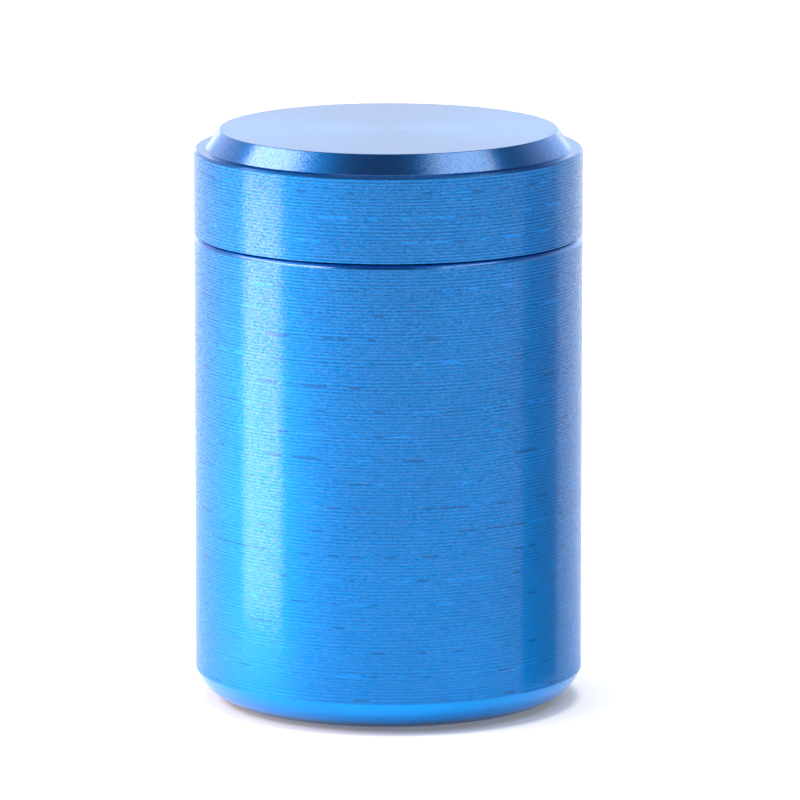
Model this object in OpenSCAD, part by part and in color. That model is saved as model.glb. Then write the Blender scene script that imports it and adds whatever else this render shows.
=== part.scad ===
// Twist pill crusher: a turned aluminium can that stores tablets, a crushing cup that plugs into its
// mouth, and a screw lid that carries a sprung, toothed ram. The axis is +Z and the foot stands on z = 0.

/* [Case] */
// Outside diameter of the can and the lid
case_d = 47; // [46:0.5:50]
// Height over all, from the foot pad to the crown
total_h = 70; // [69.5:0.1:71]
// Height of the lid's lower edge
lid_edge_z = 57.3; // [57.2:0.1:57.4]
// Bore of the can, from its foot to the ledge under the cup
can_bore_d = 42; // [41.8:0.1:42.2]
// How far the foot pad stands out below the can
pad_proud = 0.3; // [0.2:0.1:0.5]
// Height of the rounded foot
foot_h = 3.6; // [3:0.1:4.5]
// Radius of the rounded foot's arc
foot_arc_r = 5.5; // [5:0.1:8]
// Diameter of the flat part of the can's base
foot_flat_d = 38.4; // [37:0.1:40]

/* [Lid] */
// Height of the raised crown above the shoulder
crown_h = 2.3; // [1.8:0.1:2.6]
// Diameter of the crown's flat top
crown_top_d = 40.8; // [39:0.1:42]
// Diameter of the crown at the shoulder
crown_foot_d = 44.2; // [43:0.1:45]
// Bevel on the shoulder's outer edge
shoulder_bevel = 0.28; // [0.1:0.02:0.4]
// Bore of the lid's skirt
lid_bore_d = 44.2; // [44:0.1:44.6]

/* [Thread] */
// Axial distance between neighbouring ridges
thread_pitch = 2; // [2:0.1:2.4]
// Number of starts
thread_starts = 2; // [1:1:3]
// Root diameter of the neck's thread
neck_root_d = 38.6; // [38.4:0.1:38.8]
// Height of a ridge
ridge_h = 0.7; // [0.5:0.05:0.75]

/* [Crushing parts] */
// Bore of the crushing cup
cup_bore_d = 34; // [33.8:0.1:34.2]
// Distance between neighbouring teeth
tooth_pitch = 2.8; // [2.4:0.1:3.2]
// Depth of the grooves between teeth
tooth_h = 1; // [0.8:0.05:1.1]
// Width of the flat that is left on each tooth's tip
tooth_flat = 0.5; // [0.3:0.1:0.8]
// Gap between the two sets of teeth with the lid closed
closed_gap = 0.3; // [0.2:0.05:0.5]
// Travel of the ram against its spring
ram_travel = 3.5; // [2:0.1:3.5]
// Wire diameter of the ram's spring
spring_wire_d = 1.6; // [1.2:0.1:1.8]
// Number of coils in the ram's spring
spring_coils = 5; // [4:0.5:6]

/* [Hidden] */
$fn = 96;

// Cuts run past the surface they open by this much.
past = 1;
// Radial clearance round a piece that drops into its seat.
snug = 0.05;

blue = [0.08, 0.42, 0.86];
silver = [0.78, 0.79, 0.8];
steel = [0.62, 0.64, 0.66];
white = [0.93, 0.93, 0.91];
dark = [0.12, 0.12, 0.13];
frost = [0.82, 0.86, 0.88];

// Can
case_r = case_d / 2;
can_bore_r = can_bore_d / 2;
seam_gap = 0.2;
can_rim_z = lid_edge_z - seam_gap;
can_rim_bevel = 0.35;
can_floor_z = 2.6;
foot_flat_r = foot_flat_d / 2;
foot_top_z = pad_proud + foot_h;
pad_r = 17.6;
pad_h = 1;
pad_clearance = 0.1;
ledge_depth = 1.5;
ledge_z = can_rim_z - ledge_depth;
ledge_r = 22.3;

// Pill store liner
liner_wall = 1;
liner_r = can_bore_r - 0.1;
liner_h = 38.5;
liner_corner_r = 2.5;

// Keys between the can and the cup
key_count = 2;
key_r = 0.75;
key_ring_r = 22.1;
key_bottom_z = ledge_z - 3.5;
key_top_z = can_rim_z - 0.2;
key_notch_clearance = 0.15;

// Crushing cup
cup_bore_r = cup_bore_d / 2;
cup_floor_z = 44;
cup_base_z = cup_floor_z - 2.5;
cup_r = can_bore_r - 0.2;
flange_r = ledge_r - 0.1;
neck_root_r = neck_root_d / 2;
rim_z = 65.4;
plug_bevel = 0.5;
seal_cord_r = 0.75;
seal_clearance = 0.04;
seal_groove_w = 1.7;
seal_groove_r = cup_r - 1.4;
seal_ring_r = can_bore_r - seal_clearance - seal_cord_r;
seal_lower_z = 46;
seal_upper_z = 52.2;

// Thread
lead = thread_pitch * thread_starts;
ridge_base_w = 1.3;
ridge_tip_w = 0.5;
ridge_sink = 0.3;
ridge_end_sink = 0.1;
ridge_steps_per_turn = 60;
ridge_fade = 0.12;
ridge_tip_gap = 0.25;
neck_thread_z0 = can_rim_z + 1.5;
neck_thread_z1 = rim_z - 1;
lid_thread_root_r = neck_root_r + ridge_h + ridge_tip_gap;
lid_thread_z0 = lid_edge_z + 1.2;
lid_thread_z1 = rim_z - 0.6;

// Lid
ceiling_z = 66.2;
liner_setback = 0.3;
shoulder_z = total_h - crown_h;
crown_edge = 0.12;
lid_edge_bevel = 0.12;
lid_bore_r = lid_bore_d / 2;
boss_r = 7.4;
boss_z = 63;
stud_r = 3;
stud_top_z = 68.4;
stud_hole_top_z = 68.6;
gasket_inner_r = 16.4;
gasket_outer_r = neck_root_r + 0.1;

// Teeth and plates
plate_r = cup_bore_r - 0.1;
ram_plate_r = plate_r - 0.25;
anvil_top_z = cup_floor_z + 2.5;
ram_tip_z = anvil_top_z + closed_gap;
ram_plate_h = 2;
ram_floor_z = ram_tip_z + ram_plate_h;
plate_screw_ring_r = 11.6;
plate_screw_count = 3;
screw_r = 1.2;
screw_head_r = 2.2;
screw_head_h = 1;
screw_head_edge = 0.2;
screw_slot_w = 2.2;
screw_slot_depth = 0.6;
screw_bite = 1.1;

// Ram
ram_r = cup_bore_r - 0.35;
ram_wall = 2.4;
ram_floor_h = 2.5;
ram_wall_top_z = 58;
ram_boss_r = 8.5;
ram_stop_gap = 0.2;
ram_boss_top_z = boss_z - ram_travel - ram_stop_gap;
hex_flats = 9;
hex_clearance = 0.2;
spindle_end_z = 55.4;
counterbore_r = 6.3;
wiper_z = 52.8;
wiper_h = 2.2;
wiper_depth = 1.3;
wiper_r = cup_bore_r - 0.1;

// Spring and the screw that keeps the ram on the spindle
washer_h = 0.8;
spring_mean_r = 11.4;
washer_r = 13;
washer_clearance = 0.4;
spring_bottom_z = ram_floor_z + ram_floor_h + snug;
spring_top_z = ceiling_z - washer_h - snug;
spring_closed_pitch = spring_wire_d * 1.02;
spring_sides = 8;
spring_steps_per_turn = 24;
keeper_washer_r = counterbore_r - 0.3;
keeper_screw_r = 2;
keeper_head_r = 3.8;
keeper_head_h = 1.8;
keeper_screw_len = 5.5;
keeper_slot_w = 3.6;
keeper_slot_depth = 1;

// A tube or, with no inner radius, a disc, between two heights.
module ring(inner_r, outer_r, z0, z1) {
    rotate_extrude()
        translate([inner_r, z0])
            square([outer_r - inner_r, z1 - z0]);
}

// Copies its children round the axis.
module round_the_axis(count, radius, turn = 0) {
    for (i = [0:count - 1])
        rotate(turn + 360 * i / count)
            translate([radius, 0, 0])
                children();
}

// Cross-section of one thread ridge at an angle: four points from the buried base to the tip.
function ridge_section(base_r, tip_r, angle, z) = [
    for (p = [
        [base_r, -ridge_base_w / 2],
        [tip_r, -ridge_tip_w / 2],
        [tip_r, ridge_tip_w / 2],
        [base_r, ridge_base_w / 2]
    ])
        [p[0] * cos(angle), p[0] * sin(angle), z + p[1]]
];

// Share of its full height that a ridge has at a point from 0 to 1 along it: it fades in and out.
function ridge_share(t) = min(1, t / ridge_fade, (1 - t) / ridge_fade);

// Faces of a tube of sections, each with the same number of points, closed at both ends.
function tube_faces(sections, points) = concat(
    [for (i = [0:sections - 2], j = [0:points - 1])
        [i * points + j, i * points + (j + 1) % points, (i + 1) * points + (j + 1) % points]],
    [for (i = [0:sections - 2], j = [0:points - 1])
        [i * points + j, (i + 1) * points + (j + 1) % points, (i + 1) * points + j]],
    [for (j = [1:points - 2]) [0, j + 1, j]],
    [for (j = [1:points - 2])
        [(sections - 1) * points, (sections - 1) * points + j, (sections - 1) * points + j + 1]]
);

// One right-handed helical ridge on a wall. It stands outwards from the wall if tip_r is the larger radius.
module ridge(wall_r, tip_r, z0, z1, turn) {
    out = tip_r > wall_r ? 1 : -1;
    height = abs(tip_r - wall_r);
    base_r = wall_r - out * ridge_sink;
    steps = round(ridge_steps_per_turn * (z1 - z0) / lead);
    points = [
        for (i = [0:steps])
            each ridge_section(
                base_r,
                wall_r + out * ((height + ridge_end_sink) * ridge_share(i / steps) - ridge_end_sink),
                turn + 360 * (z1 - z0) / lead * i / steps,
                z0 + (z1 - z0) * i / steps
            )
    ];
    faces = tube_faces(steps + 1, 4);
    polyhedron(points, out > 0 ? faces : [for (f = faces) [f[0], f[2], f[1]]]);
}

// All starts of one thread. Phase shifts it along the axis, as a share of the pitch.
module thread(wall_r, tip_r, z0, z1, phase) {
    for (i = [0:thread_starts - 1])
        ridge(wall_r, tip_r, z0, z1, 360 * (i - phase) / thread_starts + 360 * z0 / lead);
}

// V grooves both ways across a disc. What stays between them is a field of blunt square pyramids.
module tooth_grooves(radius, tip_z, up) {
    half = (tooth_pitch - tooth_flat) / 2;
    side = ceil(radius / tooth_pitch - 0.5);
    for (turn = [0, 90], i = [-side:side - 1])
        rotate(turn)
            translate([(i + 0.5) * tooth_pitch, radius + past, tip_z])
                mirror([0, 0, up ? 0 : 1])
                    rotate([90, 0, 0])
                        linear_extrude(2 * (radius + past))
                            polygon([[0, -tooth_h], [half, 0], [half, past], [-half, past], [-half, 0]]);
}

// A countersunk screw that stands on its head, with the head's face at z = 0.
module countersunk_screw(length) {
    rotate_extrude()
        polygon([
            [0, 0], [screw_head_r, 0], [screw_head_r, screw_head_edge],
            [screw_r, screw_head_h + screw_head_edge], [screw_r, length], [0, length]
        ]);
}

// The seat of that screw, with its clearance hole.
module countersunk_seat(length) {
    rotate_extrude()
        polygon([
            [0, -past], [screw_head_r + snug, -past], [screw_head_r + snug, screw_head_edge],
            [screw_r + snug, screw_head_h + screw_head_edge], [screw_r + snug, length], [0, length]
        ]);
}

// A cross slot for a screwdriver, cut into a head whose face is at z = 0.
module cross_slot(size, depth) {
    for (turn = [0, 90])
        rotate(turn)
            translate([-size / 2, -size / 8, -past])
                cube([size, size / 4, depth + past]);
}

// The outline of the can's rounded foot, which a circle through the two ends of the arc gives.
module foot_outline() {
    top = [case_r, foot_top_z];
    bottom = [foot_flat_r, pad_proud];
    chord = top - bottom;
    inwards = [-chord[1], chord[0]] / norm(chord);
    centre = (top + bottom) / 2 + inwards * sqrt(pow(foot_arc_r, 2) - pow(norm(chord) / 2, 2));
    intersection() {
        translate([0, pad_proud])
            square([case_r, can_rim_z - pad_proud]);
        union() {
            translate([0, foot_top_z])
                square([case_r, can_rim_z - foot_top_z]);
            translate([0, pad_proud])
                square([foot_flat_r, can_rim_z - pad_proud]);
            translate(centre)
                circle(foot_arc_r);
        }
    }
}

// Turned can: rounded foot, straight bore, a ledge for the cup's flange and a bevelled rim.
module can_shell() {
    color(blue)
        difference() {
            rotate_extrude()
                difference() {
                    foot_outline();
                    translate([0, can_floor_z])
                        square([can_bore_r, can_rim_z]);
                    translate([0, ledge_z])
                        square([ledge_r, can_rim_z]);
                    translate([0, -past])
                        square([pad_r + pad_clearance, pad_h + past]);
                    polygon([
                        [case_r - can_rim_bevel, can_rim_z], [case_r + past, can_rim_z + past],
                        [case_r + past, can_rim_z - can_rim_bevel], [case_r, can_rim_z - can_rim_bevel]
                    ]);
                }
            round_the_axis(key_count, key_ring_r)
                translate([0, 0, key_bottom_z])
                    cylinder(r = key_r, h = total_h);
        }
}

// Moulded cup that lines the pill store, with a rounded inner corner.
module store_liner() {
    inner_r = liner_r - liner_wall;
    floor_z = can_floor_z + liner_wall;
    color(white)
        rotate_extrude()
            difference() {
                translate([0, can_floor_z])
                    square([liner_r, liner_h]);
                translate([0, floor_z])
                    square([inner_r - liner_corner_r, liner_h]);
                translate([0, floor_z + liner_corner_r])
                    square([inner_r, liner_h]);
                translate([inner_r - liner_corner_r, floor_z + liner_corner_r])
                    circle(liner_corner_r);
            }
}

// Silicone disc in the recess under the can.
module foot_pad() {
    color(dark)
        ring(0, pad_r, 0, pad_h);
}

// Dowels that stop the cup from turning in the can, half of each standing in a notch of the flange.
module key_pins() {
    color(steel)
        round_the_axis(key_count, key_ring_r)
            translate([0, 0, key_bottom_z])
                cylinder(r = key_r, h = key_top_z - key_bottom_z);
}

// Cup body: plug with two seal grooves, flange, threaded neck, and a bore with a flat floor.
module crush_cup() {
    color(silver)
        difference() {
            union() {
                rotate_extrude()
                    difference() {
                        union() {
                            translate([0, cup_base_z])
                                square([cup_r, ledge_z - cup_base_z]);
                            translate([0, ledge_z])
                                square([flange_r, ledge_depth]);
                            translate([0, ledge_z])
                                square([neck_root_r, rim_z - ledge_z]);
                        }
                        translate([0, cup_floor_z])
                            square([cup_bore_r, total_h]);
                        for (z = [seal_lower_z, seal_upper_z])
                            translate([seal_groove_r, z - seal_groove_w / 2])
                                square([past + cup_r - seal_groove_r, seal_groove_w]);
                        polygon([
                            [cup_r - plug_bevel, cup_base_z], [cup_r + past, cup_base_z + plug_bevel + past],
                            [cup_r + past, cup_base_z - past], [cup_r - plug_bevel, cup_base_z - past]
                        ]);
                    }
                thread(neck_root_r, neck_root_r + ridge_h, neck_thread_z0, neck_thread_z1, 0);
            }
            round_the_axis(key_count, key_ring_r)
                translate([0, 0, ledge_z - past])
                    cylinder(r = key_r + key_notch_clearance, h = ledge_depth + 2 * past);
            translate([0, 0, cup_base_z])
                round_the_axis(plate_screw_count, plate_screw_ring_r, 30)
                    countersunk_seat(4 * past);
        }
}

// Toothed disc on the cup's floor.
module anvil_plate() {
    color(steel)
        difference() {
            ring(0, plate_r, cup_floor_z, anvil_top_z);
            tooth_grooves(plate_r, anvil_top_z, true);
            round_the_axis(plate_screw_count, plate_screw_ring_r, 30)
                translate([0, 0, cup_floor_z - past])
                    cylinder(r = screw_r, h = past + screw_bite);
        }
}

// Screws that hold the anvil, put in from under the cup.
module anvil_screws() {
    color(steel)
        translate([0, 0, cup_base_z])
            round_the_axis(plate_screw_count, plate_screw_ring_r, 30)
                difference() {
                    countersunk_screw(cup_floor_z - cup_base_z + screw_bite);
                    cross_slot(screw_slot_w, screw_slot_depth);
                }
}

// One seal ring on the cup's plug.
module plug_seal(z) {
    color(dark)
        rotate_extrude()
            translate([seal_ring_r, z])
                circle(seal_cord_r);
}

// Flat seal between the cup's rim and the lid's ceiling.
module lid_gasket() {
    color(frost)
        ring(gasket_inner_r, gasket_outer_r, rim_z, ceiling_z);
}

// Outline of the lid's outside: skirt, bevelled shoulder and raised crown.
module lid_outline() {
    polygon([
        [0, lid_edge_z],
        [case_r - lid_edge_bevel, lid_edge_z],
        [case_r, lid_edge_z + lid_edge_bevel],
        [case_r, shoulder_z - shoulder_bevel],
        [case_r - shoulder_bevel, shoulder_z],
        [crown_foot_d / 2, shoulder_z],
        [crown_top_d / 2, total_h - crown_edge],
        [crown_top_d / 2 - crown_edge, total_h],
        [0, total_h]
    ]);
}

// Lid: skirt, crown and, inside, a tapped boss for the spindle.
module lid_shell() {
    color(blue)
        rotate_extrude()
            difference() {
                lid_outline();
                translate([boss_r, lid_edge_z - past])
                    square([lid_bore_r - boss_r, ceiling_z - lid_edge_z + past]);
                translate([0, lid_edge_z - past])
                    square([boss_r + past, boss_z - lid_edge_z + past]);
                translate([0, boss_z - past])
                    square([stud_r, stud_hole_top_z - boss_z + past]);
            }
}

// Threaded ring fixed inside the lid's skirt.
module thread_liner() {
    color(white)
        union() {
            ring(lid_thread_root_r, lid_bore_r, lid_edge_z + liner_setback, ceiling_z);
            thread(lid_thread_root_r, neck_root_r + ridge_tip_gap, lid_thread_z0, lid_thread_z1, 0.5);
        }
}

// Hexagonal spindle with a stud for the lid's boss and a tapped end.
module spindle() {
    color(steel)
        difference() {
            union() {
                translate([0, 0, spindle_end_z])
                    cylinder(r = hex_flats / sqrt(3), h = boss_z - spindle_end_z, $fn = 6);
                translate([0, 0, boss_z])
                    cylinder(r = stud_r, h = stud_top_z - boss_z);
            }
            translate([0, 0, spindle_end_z - past])
                cylinder(r = keeper_screw_r, h = keeper_screw_len + past);
        }
}

// Washer that keeps the spring off the lid's ceiling.
module spring_washer() {
    color(steel)
        ring(boss_r + washer_clearance, washer_r, ceiling_z - washer_h, ceiling_z);
}

// Coil spring with closed ends: the pitch is one wire in the first and last turns.
module ram_spring() {
    wire_r = spring_wire_d / 2;
    height = spring_top_z - spring_bottom_z - spring_wire_d;
    closed = spring_closed_pitch;
    open = (height - 2 * closed) / (spring_coils - 2);
    steps = spring_coils * spring_steps_per_turn;
    function coil_z(t) = t < 1 ? closed * t
        : t > spring_coils - 1 ? height - closed * (spring_coils - t)
        : closed + open * (t - 1);
    points = [
        for (i = [0:steps], j = [0:spring_sides - 1])
            let (
                t = i / spring_steps_per_turn,
                around = 360 * j / spring_sides,
                r = spring_mean_r + wire_r * cos(around)
            )
            [r * cos(360 * t), r * sin(360 * t), spring_bottom_z + wire_r + coil_z(t) + wire_r * sin(around)]
    ];
    faces = tube_faces(steps + 1, spring_sides);
    color(silver)
        polyhedron(points, [for (f = faces) [f[0], f[2], f[1]]]);
}

// Washer and screw on the spindle's end. The ram's ledge rests on the washer.
module retaining_washer() {
    color(silver)
        ring(keeper_screw_r + snug, keeper_washer_r, spindle_end_z - washer_h, spindle_end_z);
}

module retaining_screw() {
    head_top_z = spindle_end_z - washer_h;
    color(steel)
        difference() {
            union() {
                ring(0, keeper_head_r, head_top_z - keeper_head_h, head_top_z);
                ring(0, keeper_screw_r, head_top_z - keeper_head_h / 2, spindle_end_z + keeper_screw_len);
            }
            translate([0, 0, head_top_z - keeper_head_h])
                cross_slot(keeper_slot_w, keeper_slot_depth);
        }
}

// Ram: an open-topped piston with a hexagonal socket in its hub and a groove for its wiper.
module ram_body() {
    pocket_floor_z = ram_floor_z + ram_floor_h;
    color(silver)
        difference() {
            rotate_extrude()
                difference() {
                    union() {
                        translate([0, ram_floor_z])
                            square([ram_r, ram_wall_top_z - ram_floor_z]);
                        translate([0, ram_floor_z])
                            square([ram_boss_r, ram_boss_top_z - ram_floor_z]);
                    }
                    translate([ram_boss_r, pocket_floor_z])
                        square([ram_r - ram_wall - ram_boss_r, total_h]);
                    translate([ram_r - wiper_depth, wiper_z])
                        square([wiper_depth + past, wiper_h]);
                    translate([0, ram_floor_z - past])
                        square([counterbore_r, spindle_end_z - ram_floor_z + past]);
                }
            translate([0, 0, ram_floor_z])
                cylinder(r = (hex_flats + hex_clearance) / sqrt(3), h = total_h, $fn = 6);
            translate([0, 0, ram_floor_z - past])
                round_the_axis(plate_screw_count, plate_screw_ring_r)
                    cylinder(r = screw_r, h = past + screw_bite);
        }
}

// Toothed disc on the ram's underside.
module ram_plate() {
    color(steel)
        difference() {
            ring(0, ram_plate_r, ram_tip_z, ram_floor_z);
            tooth_grooves(ram_plate_r, ram_tip_z, false);
            translate([0, 0, ram_tip_z + tooth_h / 2])
                round_the_axis(plate_screw_count, plate_screw_ring_r)
                    countersunk_seat(4 * past);
        }
}

// Screws that hold the ram's plate, put in from the toothed side.
module ram_plate_screws() {
    color(steel)
        translate([0, 0, ram_tip_z + tooth_h / 2])
            round_the_axis(plate_screw_count, plate_screw_ring_r)
                difference() {
                    countersunk_screw(ram_plate_h - tooth_h / 2 + screw_bite);
                    cross_slot(screw_slot_w, screw_slot_depth);
                }
}

// Silicone ring in the ram's groove, which wipes the cup's bore.
module ram_wiper() {
    color(frost)
        ring(ram_r - wiper_depth, wiper_r, wiper_z, wiper_z + wiper_h);
}

can_shell();
store_liner();
foot_pad();
key_pins();
crush_cup();
anvil_plate();
anvil_screws();
plug_seal(seal_upper_z);  // plug_seal_upper
plug_seal(seal_lower_z);  // plug_seal_lower
lid_gasket();
lid_shell();
thread_liner();
spindle();
spring_washer();
ram_spring();
retaining_washer();
retaining_screw();
ram_body();
ram_plate();
ram_plate_screws();
ram_wiper();
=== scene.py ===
import math

import bmesh
import bpy
from mathutils import Matrix, Vector

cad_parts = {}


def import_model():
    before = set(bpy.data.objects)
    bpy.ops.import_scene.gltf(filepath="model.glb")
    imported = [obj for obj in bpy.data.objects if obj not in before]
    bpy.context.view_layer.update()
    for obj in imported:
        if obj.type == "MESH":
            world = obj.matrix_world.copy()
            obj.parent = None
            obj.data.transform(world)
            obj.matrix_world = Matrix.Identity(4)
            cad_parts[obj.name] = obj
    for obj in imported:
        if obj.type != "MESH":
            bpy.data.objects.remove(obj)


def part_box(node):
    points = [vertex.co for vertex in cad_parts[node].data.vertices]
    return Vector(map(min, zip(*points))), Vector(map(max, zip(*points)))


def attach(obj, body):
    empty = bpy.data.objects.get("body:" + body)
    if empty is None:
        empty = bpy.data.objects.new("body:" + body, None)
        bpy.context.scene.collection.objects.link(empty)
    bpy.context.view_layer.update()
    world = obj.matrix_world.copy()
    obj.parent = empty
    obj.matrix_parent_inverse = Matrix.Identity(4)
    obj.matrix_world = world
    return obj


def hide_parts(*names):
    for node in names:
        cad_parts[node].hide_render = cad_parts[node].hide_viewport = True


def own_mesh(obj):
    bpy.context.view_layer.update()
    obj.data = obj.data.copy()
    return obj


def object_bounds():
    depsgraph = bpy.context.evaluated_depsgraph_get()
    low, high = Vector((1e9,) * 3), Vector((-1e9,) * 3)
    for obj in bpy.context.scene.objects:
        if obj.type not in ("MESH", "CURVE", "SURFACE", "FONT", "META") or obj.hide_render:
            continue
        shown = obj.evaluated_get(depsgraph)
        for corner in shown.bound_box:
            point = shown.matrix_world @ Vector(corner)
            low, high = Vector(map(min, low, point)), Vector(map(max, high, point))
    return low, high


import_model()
cad_low, cad_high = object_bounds()

MM = 0.001
MICRON = 1e-6
TURN = 2 * math.pi
TINY = 1e-7
WELD = 5e-7

# ---------------------------------------------------------------- sizes that the frame's boxes don't give

ROUND_STEPS = 224
SMALL_ROUND_STEPS = 48
FILLET_STEP = math.radians(18)
FILLET_SHARE = 0.45  # the most of a side that the fillet at one of its ends may take
CREASE = math.radians(32)  # a sharper edge than this is shaded crisp after a cut
EDGE = 0.12 * MM  # the usual rounding of an edge
SUPPORT = 0.04 * MM  # how far a straight side's extra points are from its ends

THREAD_PITCH = 2 * MM
THREAD_LEAD = 4 * MM
THREAD_GAP = 0.25 * MM
RIDGE_HEIGHT = 0.7 * MM
RIDGE_BASE = 1.3 * MM
RIDGE_TIP = 0.5 * MM
RIDGE_FADE = 0.7 * MM
HALF_RIDGE = [z * MM for z in (0.18, 0.28, 0.38, 0.5, 0.62, 0.72, 0.92)]  # the rows above its middle

TOOTH_PITCH = 2.8 * MM
TOOTH_DEPTH = 1 * MM
TOOTH_FLAT = 0.5 * MM
TOOTH_GROOVE_HALF = (TOOTH_PITCH - TOOTH_FLAT) / 2
PLATE_STEPS = 192
NEARLY_FLAT = math.radians(0.5)

PLATE_SCREWS = 3
PLATE_SCREW_RING = 11.6 * MM
SCREW_HEAD_RADIUS = 2.2 * MM
SCREW_RADIUS = 1.2 * MM
SCREW_LIP = 0.2 * MM
SCREW_CONE_END = 1.2 * MM
SCREW_STEPS = 64
SLOT_SHARE = 1 / 4  # width over length of a cross recess
RECESS_SHARE = 0.98  # depth of a recess's second bar over that of its first, so that no faces coincide
PAST = 1 * MM  # how far a cutter reaches out of the face that it cuts


def low(node):
    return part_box(node)[0]


def high(node):
    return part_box(node)[1]


# ---------------------------------------------------------------- outlines and turned meshes


def corner(radius, height, fillet=EDGE, finish=0):
    """A corner of an outline. finish is the material of the side that starts here."""
    return {"at": Vector((radius, height)), "fillet": fillet, "finish": finish, "curve": False}


def curve(radius, height, finish=0):
    """A point along a round stretch of an outline."""
    return {"at": Vector((radius, height)), "fillet": 0, "finish": finish, "curve": True}


def arc(start, end, radius, finish=0, steps=14):
    """A round stretch that bulges to the right of the way from start to end, with crisp corners at both."""
    start, end = Vector(start), Vector(end)
    chord = end - start
    left = Vector((-chord.y, chord.x)).normalized()
    centre = (start + end) / 2 + left * math.sqrt(radius**2 - (chord.length / 2) ** 2)
    first = math.atan2(*(start - centre).yx)
    sweep = 2 * math.asin(chord.length / 2 / radius)
    angles = [first + sweep * i / steps for i in range(1, steps)]
    spots = [(centre.x + radius * math.cos(a), centre.y + radius * math.sin(a)) for a in angles]
    return [corner(*start, 0, finish), *(curve(*spot, finish) for spot in spots), corner(*end, 0)]


def circle_outline(centre, radius, steps=28):
    angles = [TURN * i / steps for i in range(steps)]
    return [curve(centre[0] + radius * math.cos(a), centre[1] + radius * math.sin(a)) for a in angles]


def rounded(corners):
    """Replaces each corner that has a fillet by an arc, and adds a point close to both ends of a straight
    side, so that smooth shading stays inside the fillet. Returns (point, finish, crisp) triples of a closed
    outline."""
    made = []
    for i, here in enumerate(corners):
        back = corners[i - 1]["at"] - here["at"]
        on = corners[(i + 1) % len(corners)]["at"] - here["at"]
        fillet = here["fillet"]
        before = corners[i - 1]["finish"]
        if here["at"].x < TINY or fillet == 0 or back.length < TINY or on.length < TINY:
            crisp = not here["curve"] and here["at"].x > TINY
            made.append([(here["at"], here["finish"], crisp)])
            continue
        back_way, on_way = back.normalized(), on.normalized()
        half = back_way.angle(on_way) / 2
        reach = min(fillet / math.tan(half), back.length * FILLET_SHARE, on.length * FILLET_SHARE)
        radius = reach * math.tan(half)
        centre = here["at"] + (back_way + on_way).normalized() * radius / math.sin(half)
        steps = max(2, math.ceil((math.pi - 2 * half) / FILLET_STEP))
        from_centre = here["at"] + back_way * reach - centre
        to_centre = here["at"] + on_way * reach - centre
        turn = from_centre.angle_signed(to_centre)
        points = []
        for k in range(steps + 1):
            spoke = from_centre.copy()
            spoke.rotate(Matrix.Rotation(-turn * k / steps, 2))
            points.append((centre + spoke, here["finish"] if k == steps else before, False))
        made.append(points)
    outline = []
    for i, points in enumerate(made):
        outline.extend(points)
        after = made[(i + 1) % len(made)]
        start, end = points[-1][0], after[0][0]
        straight = not (corners[i]["curve"] or corners[(i + 1) % len(made)]["curve"])
        side = end - start
        if straight and side.length > 4 * SUPPORT:
            step = side.normalized() * SUPPORT
            outline.append((start + step, points[-1][1], False))
            outline.append((end - step, points[-1][1], False))
    return outline


def smooth_step(t):
    t = min(1, max(0, t))
    return t * t * (3 - 2 * t)


def thread_rows(angle, wall, crest, z_low, z_high, phase):
    """Points up a threaded wall at one angle. Rows follow the helix, so the ridges have clean flanks, and
    rows that would leave the wall gather at its ends. phase moves the ridges along the axis, as a share of
    the pitch."""
    offsets = [-offset for offset in reversed(HALF_RIDGE)] + HALF_RIDGE
    first = math.floor((z_low - THREAD_LEAD) / THREAD_PITCH) - 1
    last = math.ceil(z_high / THREAD_PITCH) + 1
    rows = []
    for ridge in range(first, last + 1):
        centre = THREAD_LEAD * angle / TURN + (ridge + phase) * THREAD_PITCH
        for offset in offsets:
            z = min(z_high, max(z_low, centre + offset))
            fade = smooth_step((z - z_low) / RIDGE_FADE) * smooth_step((z_high - z) / RIDGE_FADE)
            flank = (RIDGE_BASE / 2 - abs(offset)) / ((RIDGE_BASE - RIDGE_TIP) / 2)
            rows.append((wall + (crest - wall) * smooth_step(flank) * fade, z))
    return rows


def turned(outline, steps=ROUND_STEPS, thread=None):
    """A closed mesh turned round +Z. thread is (index, options): threaded rows go in after that corner."""
    bm = bmesh.new()
    full = rounded(outline)
    groups = [full]
    if thread:
        index, options = thread
        split = next(i for i, p in enumerate(full) if (p[0] - outline[index]["at"]).length < TINY) + 1
        groups = [full[:split], full[split:]]
    columns = []
    for j in range(steps + 1):
        angle = TURN * j / steps
        column = []
        for g, group in enumerate(groups):
            column.extend((p.x, p.y, finish, crisp) for p, finish, crisp in group)
            if thread and g == 0:
                rows = thread_rows(angle, **options)
                rows = rows if options["wall"] < options["crest"] else rows[::-1]
                column.extend((r, z, group[-1][1], False) for r, z in rows)
        columns.append((angle, column))
    verts = [
        [bm.verts.new((r * math.cos(angle), r * math.sin(angle), z)) for r, z, _, _ in column]
        for angle, column in columns
    ]
    count = len(verts[0])
    pattern = columns[0][1]
    for j in range(steps):
        for i in range(count):
            k = (i + 1) % count
            if pattern[i][0] < TINY and pattern[k][0] < TINY:
                continue
            face = bm.faces.new((verts[j][i], verts[j + 1][i], verts[j + 1][k], verts[j][k]))
            face.material_index = pattern[i][2]
            face.smooth = True
            if pattern[i][3]:
                bm.edges.get((verts[j][i], verts[j + 1][i])).smooth = False
    bmesh.ops.remove_doubles(bm, verts=bm.verts, dist=WELD)
    bmesh.ops.dissolve_degenerate(bm, edges=bm.edges, dist=TINY)
    bmesh.ops.recalc_face_normals(bm, faces=bm.faces)
    return bm


def moved(bm, x=0.0, z=0.0, spin=0.0):
    """bm shifted out along +X and up, and then turned round the axis."""
    matrix = Matrix.Rotation(spin, 4, "Z") @ Matrix.Translation((x, 0, z))
    bmesh.ops.transform(bm, matrix=matrix, verts=bm.verts)
    return bm


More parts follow.
